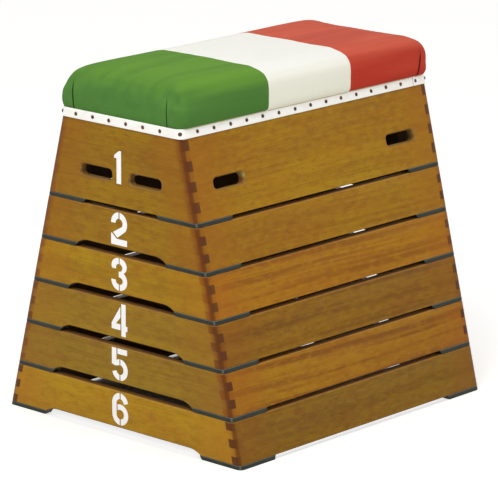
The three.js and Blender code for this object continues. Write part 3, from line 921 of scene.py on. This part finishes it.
def fold_pleats(form):
    """Raises the cloth on the corner side of each pleat, behind a narrow slit at its line."""
    for face, side, line, way, lean, swing in PLEATS:
        out, over = (0, 1) if face == "end" else (1, 0)
        edge = pleat_edge(face)

        def place_on(spot):
            bend = swing * (HALF_LENGTH - side * spot[out])
            return spot[over] - line - lean * (spot.z - BAND_HIGH) - bend

        def near(middle):
            return middle[out] * side > edge and abs(place_on(middle)) < 0.02

        normal = Vector((0.0, 0.0, -lean))
        normal[over] = 1.0
        normal[out] = swing * side
        for shift in (-PLEAT_SLIT, 0.0, PLEAT_SLIT):
            spot = Z_AXIS * BAND_HIGH
            spot[out] = side * HALF_LENGTH
            spot[over] = line + shift
            cut_region(form, spot, normal, near)
        for vertex in form.verts:
            past = place_on(vertex.co) * way
            if vertex.co[out] * side < edge or past < -0.0002 or past > PLEAT_SPREAD:
                continue
            fade = 1.0 - soft_step(vertex.co.z, PLEAT_TOP - PLEAT_FADE, PLEAT_TOP)
            fade *= above_band(vertex.co, -0.0002, 0.004)
            if past < 0.0002:
                vertex.co[out] -= side * PLEAT_DEPTH * fade
            else:
                away = 1.0 - soft_step(past, 0.002, PLEAT_SPREAD)
                vertex.co[out] += side * PLEAT_STEP * fade * away


def sew_seams(form):
    """Adds edge loops along the seams and draws the cloth down into a groove there."""
    for plane in [side * SEAM + shift for side in (-1, 1) for shift in SEAM_LOOPS]:
        cut_region(form, X_AXIS * plane, X_AXIS, lambda middle: abs(middle.x - plane) < 0.01)
    form.normal_update()
    for vertex in form.verts:
        aside = abs(abs(vertex.co.x) - SEAM)
        if aside < SEAM_GROOVE_REACH * 2:
            vertex.co -= vertex.normal * SEAM_GROOVE * bell(aside, SEAM_GROOVE_REACH / 3)


def trim_hem(form):
    """Cuts the skin open under the band and draws its edge down to the hem on the boards' line."""
    cut = BAND_HIGH - 0.0006
    cut_open(form, Z_AXIS * cut, Z_AXIS)
    rim = open_edges(form)
    for vertex in {vertex for edge in rim for vertex in edge.verts}:
        vertex.co = on_board_line(vertex.co, cut, COVER_GROWTH)
    for vertex in extruded(form, rim):
        vertex.co = on_board_line(vertex.co, HEM, COVER_GROWTH)
    face_out(form)


def cover_skin():
    """The whole cover as one open surface, with its seams, pleats and hem."""
    form = form_from(stuffed(swollen_form()))
    shape_canvas(form)
    trim_hem(form)
    fold_pleats(form)
    sew_seams(form)
    form.normal_update()
    return form


def panel_from(skin, low, high, name, material):
    """The part of the skin between two planes, as a shell of canvas."""
    form = skin.copy()
    for place, way in ((low, X_AXIS), (high, -X_AXIS)):
        if place is not None:
            cut_open(form, X_AXIS * place, way, 1e-7)
    piece = add_object(name, mesh_from(form, name), material)
    shell = piece.modifiers.new("canvas", "SOLIDIFY")
    put(shell, thickness=CANVAS_THICKNESS, offset=-1.0, use_even_offset=False)
    return piece


def stitch_template():
    """Points and faces of a short thread, round in section, with its ends tucked down."""
    form = bmesh.new()
    bmesh.ops.create_uvsphere(form, u_segments=6, v_segments=5, radius=1.0)
    bmesh.ops.rotate(form, verts=form.verts, matrix=Matrix.Rotation(math.pi / 2, 3, "X"))
    size = Vector((STITCH_RADIUS, STITCH_LENGTH / 2, STITCH_RADIUS))
    points = [vertex.co * size for vertex in form.verts]
    faces = [[vertex.index for vertex in face.verts] for face in form.faces]
    form.free()
    return points, faces


def line_over(tree, along):
    """Points on the skin in the plane at a place along the box, from the front hem to the back."""
    middle = Vector((along, 0.0, BAND_HIGH + 0.006))
    points = []
    for index in range(LINE_RAYS + 1):
        angle = math.pi - math.pi * index / LINE_RAYS
        way = Vector((0.0, math.cos(angle), math.sin(angle)))
        spot, normal, _, _ = tree.ray_cast(middle, way)
        if spot is not None:
            points.append((spot, normal))
    return points


def evenly(points, pitch):
    """Every point of a line that lies a pitch further on than the last one taken."""
    chosen, travelled = [], 0.0
    for (before, _), (after, normal) in zip(points, points[1:]):
        travelled += (after - before).length
        if travelled >= pitch:
            chosen.append((after, normal, (after - before).normalized()))
            travelled = 0.0
    return chosen


def sew_stitches(tree, lines, name, material):
    """A row of stitches on each line along the box, joined in one piece."""
    template, template_faces = stitch_template()
    points, faces = [], []
    for along in lines:
        for place, normal, tangent in evenly(line_over(tree, along), STITCH_PITCH):
            turn = Matrix((tangent.cross(normal).normalized(), tangent, normal)).transposed()
            first = len(points)
            points.extend(place + turn @ point for point in template)
            faces.extend([first + index for index in face] for face in template_faces)
    mesh = bpy.data.meshes.new(name)
    mesh.from_pydata(points, [], faces)
    add_object(name, mesh, material)


# Each panel: its colour, the planes between which it lies, its rows of stitches, the pleats whose
# folds it shows, the tones of its canvas from the faded and lit top through the painted shade of
# the sides to dark, and those of its thread
PANELS = (
    ("green", None, -SEAM, (-SEAM - STITCH_SETBACK,), PLEATS[:2],
     ((106, 153, 53), (84, 132, 60), (36, 72, 32)), ((96, 150, 62), (60, 108, 44))),
    ("white", -SEAM, SEAM, (-SEAM + STITCH_SETBACK, SEAM - STITCH_SETBACK), (),
     ((251, 251, 244), (249, 248, 230), (206, 202, 184)), ((250, 249, 242), (214, 210, 198))),
    ("red", SEAM, None, (SEAM + STITCH_SETBACK,), PLEATS[2:],
     ((216, 100, 77), (196, 62, 45), (120, 34, 28)), ((214, 84, 66), (160, 44, 34))),
)


def add_cushion():
    skin = cover_skin()
    for colour, low, high, _, pleats, tones, _ in PANELS:
        canvas = canvas_material(f"{colour}_canvas", *tones, pleats)
        piece = panel_from(skin, low, high, f"cover_{colour}", canvas)
        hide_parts(f"cover_panel_{colour}")
    tree = BVHTree.FromBMesh(skin)
    for colour, _, _, lines, _, _, tones in PANELS:
        thread = thread_material(f"{colour}_thread", *tones)
        sew_stitches(tree, lines, f"stitches_{colour}", thread)
    add_foam(skin)


def add_foam(form):
    """The foam block inside the cover, made of the cover's skin."""
    cut_open(form, Z_AXIS * BAND_HIGH, Z_AXIS)
    form.normal_update()
    for vertex in form.verts:
        vertex.co -= vertex.normal * (CANVAS_THICKNESS * 2)
    for vertex in extruded(form, open_edges(form)):
        vertex.co.z = WOOD_TOP + 0.0002
    bmesh.ops.contextual_create(form, geom=open_edges(form))
    bmesh.ops.triangulate(form, faces=[face for face in form.faces if len(face.verts) > 4])
    face_out(form)
    piece = add_object("cushion_foam", mesh_from(form, "cushion_foam"), foam_material())
    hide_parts("foam_pad")


# The trim band and its tacks

def band_outline(height, growth):
    """Points round the boards' outline at a height, moved out by a growth, from the back right."""
    radius = CORNER_RADIUS + growth
    core_x = HALF_LENGTH + growth - radius
    core_y = half_width(height) + growth - radius
    arcs = []
    for turn, (sx, sy) in enumerate(((1, 1), (-1, 1), (-1, -1), (1, -1))):
        middle = Vector((sx * core_x, sy * core_y, height))
        angles = [(turn + index / ARC_STEPS) * math.pi / 2 for index in range(ARC_STEPS + 1)]
        ways = [Vector((math.cos(angle), math.sin(angle), 0.0)) for angle in angles]
        arcs.append([middle + radius * way for way in ways])
    spans = []
    for turn, (points, following) in enumerate(zip(arcs, arcs[1:] + arcs[:1])):
        straight = 2 * (HALF_LENGTH if turn % 2 == 0 else half_width(WOOD_TOP)) - 2 * CORNER_RADIUS
        count = round(straight / BAND_STEP)
        spans += points
        spans += [points[-1].lerp(following[0], index / count) for index in range(1, count)]
    return spans


def tack_places():
    """Middle and outward direction of each tack: one at each corner, the rest evenly between."""
    draw = random.Random(4)
    height = (BAND_LOW + BAND_HIGH) / 2
    reach = (HALF_LENGTH, half_width(height))
    spots = []
    for side in (-1, 1):
        for axis, stretch, moved in ((0, TACK_STRETCH, 0.0), (1, 1.0, TACK_END_SHIFT)):
            count = round(2 * reach[axis] / TACK_PITCH)
            for index in range(1, count):
                shift = draw.uniform(-TACK_JITTER, TACK_JITTER) + moved
                spot = Vector((side * reach[0], side * reach[1], 0.0))
                spot[axis] = -reach[axis] + index * stretch * 2 * reach[axis] / count + shift
                spots.append(spot)
        spots += [Vector((end * reach[0], side * reach[1], 0.0)) for end in (1, -1)]
    places = []
    for spot in spots:
        level = height + draw.uniform(-0.0006, 0.0006)
        place = on_board_line(spot, level, BAND_OUT)
        away = (place - on_board_line(spot, level, 0.0)).normalized()
        if abs(away.y) > 0.3:
            away = (away + Z_AXIS * SLOPE * abs(away.y)).normalized()
        places.append((place, away))
    return places


def add_band(tacks):
    """The tape round the hem, dimpled under each tack, with one overlapped joint at the front."""
    inner = BAND_OUT - BAND_THICKNESS
    round_off = BAND_THICKNESS * 0.45
    edge = [
        (round_off * 0.5, inner),
        (0.0, inner + BAND_THICKNESS * 0.4),
        (round_off * 0.35, BAND_OUT - round_off * 0.35),
        (round_off * 1.6, BAND_OUT),
    ]
    section = [(BAND_LOW + rise, growth) for rise, growth in edge]
    for share in (0.25, 0.5, 0.75):
        section.append((BAND_LOW * (1 - share) + BAND_HIGH * share, BAND_OUT))
    section += [(BAND_HIGH - rise, growth) for rise, growth in reversed(edge)]
    form = bmesh.new()
    rings = [[form.verts.new(point) for point in band_outline(*spot)] for spot in section]
    bridge(form, rings, rings[1:] + rings[:1])
    face_out(form)
    for shift in (-BAND_GAP, 0.0, BAND_GAP):
        cut_region(
            form, X_AXIS * (BAND_JOINT + shift), X_AXIS,
            lambda middle: abs(middle.x - BAND_JOINT) < 0.01 and middle.y < 0.0,
        )
    for vertex in form.verts:
        level = outward(vertex.co)
        press = sum(bell((vertex.co - place).length, DIMPLE_REACH) for place, _ in tacks)
        vertex.co -= level * DIMPLE_DEPTH * min(press, 1.0)
        past = vertex.co.x - BAND_JOINT
        if level.y < -0.9 and abs(past) < BAND_GAP / 2:
            vertex.co -= level * BAND_THICKNESS * 0.8
        elif level.y < -0.9 and past > 0:
            vertex.co += level * 0.0006 * (1.0 - soft_step(past, 0.004, 0.03))
    mesh = mesh_from(form, "trim_band_tape")
    piece = add_object("trim_band_tape", mesh, vinyl_material())
    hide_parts("trim_band")


def add_tacks(tacks):
    """Dome-headed tacks, as one piece."""
    form = bmesh.new()
    profile = [(1.0, -0.35), (1.0, 0.0), (0.97, 0.10)]
    for index in range(1, TACK_RINGS):
        angle = index / TACK_RINGS * math.pi / 2
        profile.append((0.94 * math.cos(angle), 0.10 + 0.90 * math.sin(angle)))
    angles = [2 * math.pi * index / TACK_SEGMENTS for index in range(TACK_SEGMENTS)]
    for place, away in tacks:
        side = away.cross(Z_AXIS).normalized()
        up = side.cross(away)
        centre = place - away * DIMPLE_DEPTH
        ways = [side * math.cos(angle) + up * math.sin(angle) for angle in angles]
        loops = []
        for wide, high in profile:
            rise = away * TACK_HEIGHT * high
            loops.append([form.verts.new(centre + way * TACK_RADIUS * wide + rise) for way in ways])
        tip = form.verts.new(centre + away * TACK_HEIGHT)
        form.faces.new(loops[0])
        bridge(form, loops, loops[1:])
        for index, corner in enumerate(loops[-1]):
            form.faces.new((corner, loops[-1][(index + 1) % TACK_SEGMENTS], tip))
    face_out(form)
    add_object("band_tacks", mesh_from(form, "band_tacks"), tack_material())


# The stencilled numbers

def arc(centre, radii, start, end, steps=14):
    """Points on a curve round a centre, from one angle to another, in degrees."""
    (x, y), (wide, high) = centre, radii
    angles = [math.radians(start + (end - start) * index / steps) for index in range(steps + 1)]
    return [(x + wide * math.cos(angle), y + high * math.sin(angle)) for angle in angles]


def hoop(outer, inner, *angles):
    """An outline out along one curve and back along another, each a centre and radii."""
    return arc(*outer, *angles[:2]) + arc(*inner, *angles[2:])


def number_one():
    return [[(7, 0), (20.7, 0), (20.7, 71.5), (14, 71.5), (0, 60.7), (0, 55), (7, 55)]]


def number_two():
    outer, inner = [((24.2, 47.5), (radius, radius)) for radius in (24.2, 10.6)]
    sweep = arc(*outer, 86, -38) + [(18.8, 15.6), (6.0, 26.6)] + arc(*inner, -34, 82)
    foot = [(0, 0), (48, 0), (48, 13.3), (16.2, 13.3), (2.6, 24.4), (0, 24.4)]
    return [hoop(outer, inner, 94, 180, 180, 98), sweep, foot]


def number_three():
    high, high_in = ((23.8, 54.2), (23, 17.8)), ((23.8, 50.6), (9.6, 8.6))
    low, low_in = ((24, 21.5), (24, 21.5)), ((24, 21.4), (10.5, 8.2))
    right = arc(*high, 86, -58) + hoop(low, low_in, 56, -86, -82, 82)
    right += [(22.5, 29.6), (22.5, 42.0)] + arc(*high_in, -80, 82)
    return [hoop(high, high_in, 94, 202, 200, 98), right, hoop(low, low_in, 176, 266, 262, 170)]


def number_four():
    blade = [(26.6, 65), (0, 26), (0, 13), (26.6, 13), (26.6, 26), (13.4, 26), (26.6, 41)]
    stem = [
        (29.6, 0), (42.8, 0), (42.8, 12.6), (47.6, 12.6),
        (47.6, 24), (42.8, 24), (42.8, 71.6), (29.6, 71.6),
    ]
    return [blade, stem]


def number_five():
    outer, inner = [((24.4, 24.0), (radius, radius)) for radius in (24, 11)]
    post = [(0, 71.2), (14, 71.2), (14, 44.6), (18.6, 47), (23.2, 47.6)]
    post += [(23.2, 34.6), (16, 32.8), (9.5, 31.6), (0, 34.6)]
    bar = [(17.2, 59), (46.4, 59), (46.4, 71.2), (17.2, 71.2)]
    right = hoop(outer, inner, 86, -86, -82, 82)
    return [post, bar, right, hoop(outer, inner, 266, 196, 194, 262)]


def number_six():
    high, low = (24.6, 47.4), (24.6, 24.2)
    out, inn = (24.4, 24.4), (11.2, 11.2)
    left = arc(high, out, 94, 180) + arc(low, out, 180, 266)
    left += arc(low, inn, 262, 180) + arc(high, inn, 180, 98)
    right = arc(low, (24.4, 22.6), 110, 0) + arc(low, out, 0, -86)
    right += arc(low, inn, -82, 0) + arc(low, (11.2, 10.4), 0, 132)
    return [left, hoop((high, out), (high, inn), 86, 12, 4, 82), right]


NUMBERS = (number_one, number_two, number_three, number_four, number_five, number_six)


def add_number(tier, material):
    """A tier's number in thin paint on its left end board."""
    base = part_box(f"tier_{tier}_corner_pad_front_left")[0].z
    left, rise = NUMBER_ONE_PLACE if tier == 1 else NUMBER_PLACE
    data = bpy.data.curves.new(f"number_{tier}", "CURVE")
    put(data, dimensions="2D", fill_mode="BOTH", extrude=PAINT_THICKNESS / 2)
    for points in NUMBERS[tier - 1]():
        spline = data.splines.new("POLY")
        spline.points.add(len(points) - 1)
        for point, (across, up) in zip(spline.points, points):
            point.co = (across * NUMBER_WIDTH_SHARE * MILLIMETRE, up * MILLIMETRE, 0.0, 1.0)
        spline.use_cyclic_u = True
    mesh = taken(linked(f"number_work_{tier}", data))
    turn = Matrix(((0, 0, -1), (-1, 0, 0), (0, 1, 0))).to_4x4()
    place = Vector((-HALF_LENGTH - PAINT_THICKNESS * 0.2, left, base + rise))
    mesh.transform(Matrix.Translation(place) @ turn)
    form = form_from(mesh)
    bmesh.ops.remove_doubles(form, verts=form.verts, dist=0.00001)
    face_out(form)
    add_object(f"number_{tier}", mesh_from(form, f"number_{tier}"), material, f"tier_{tier}", False)


# The whole scene

add_camera()
set_world()
add_area_light("key", Vector((-2.5, -1.1, 3.7)), 75.0)
add_area_light("front", Vector((1.6, -4.2, 2.0)), 13.5)
add_floor()

dress_nodes()
add_cushion()
tack_spots = tack_places()
add_band(tack_spots)
add_tacks(tack_spots)
number_paint = stencil_material()
for number in TIERS:
    add_number(number, number_paint)

scene.view_settings.view_transform = "Standard"

bpy.context.view_layer.update()
